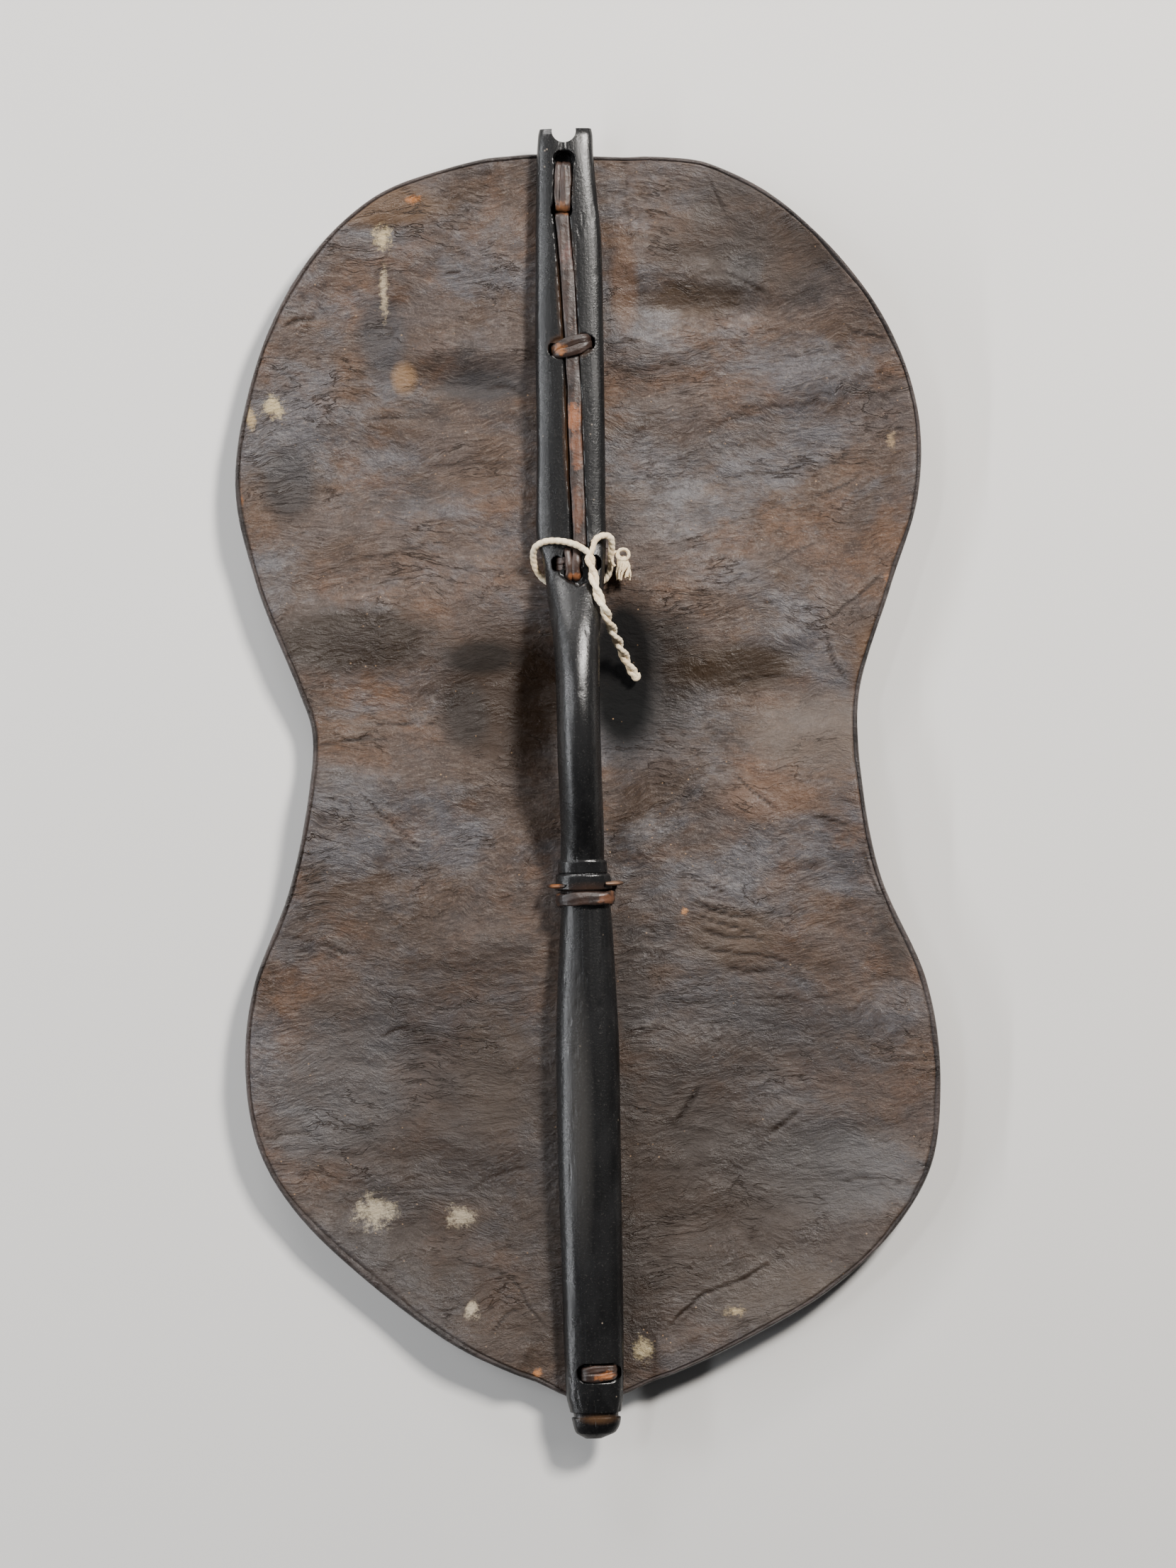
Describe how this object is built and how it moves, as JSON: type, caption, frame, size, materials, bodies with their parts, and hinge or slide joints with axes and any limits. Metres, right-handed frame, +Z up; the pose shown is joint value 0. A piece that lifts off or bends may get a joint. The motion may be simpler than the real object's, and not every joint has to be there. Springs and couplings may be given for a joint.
{
  "type": "figure-of-eight hide shield",
  "caption": "Waisted hide shield lying on its outer face, with a carved wooden carry stave laced along the back and bowed out over a hand hollow.",
  "frame": {"origin": "on the surface the shield lies on, under the middle of its bounding box", "axes": "+Y along the stave to its forked head, +X to the right seen from the stave side, +Z up, away from the outer face"},
  "size_m": [0.4215, 0.7925, 0.0668],
  "materials": {
    "hide": "dried thick hide, flesh side out, dark brown-grey with rust and pale dust, satin where rubbed",
    "stave": "hand-carved hardwood blackened and polished by handling",
    "thong": "greasy dark brown raw leather thong, worn shiny on top",
    "string": "off-white two-ply twisted cotton string"
  },
  "bodies": {
    "root": {"hide": "hide", "stave": "stave", "thong_top_loop": "thong", "thong_middle_knot": "thong", "thong_lower_tie": "thong", "waist_lashing": "thong", "thong_bottom_tie": "thong", "thong_groove_strip": "thong", "string_loop": "string", "string_tail": "string", "string_knot": "string"}
  },
  "joints": []
}
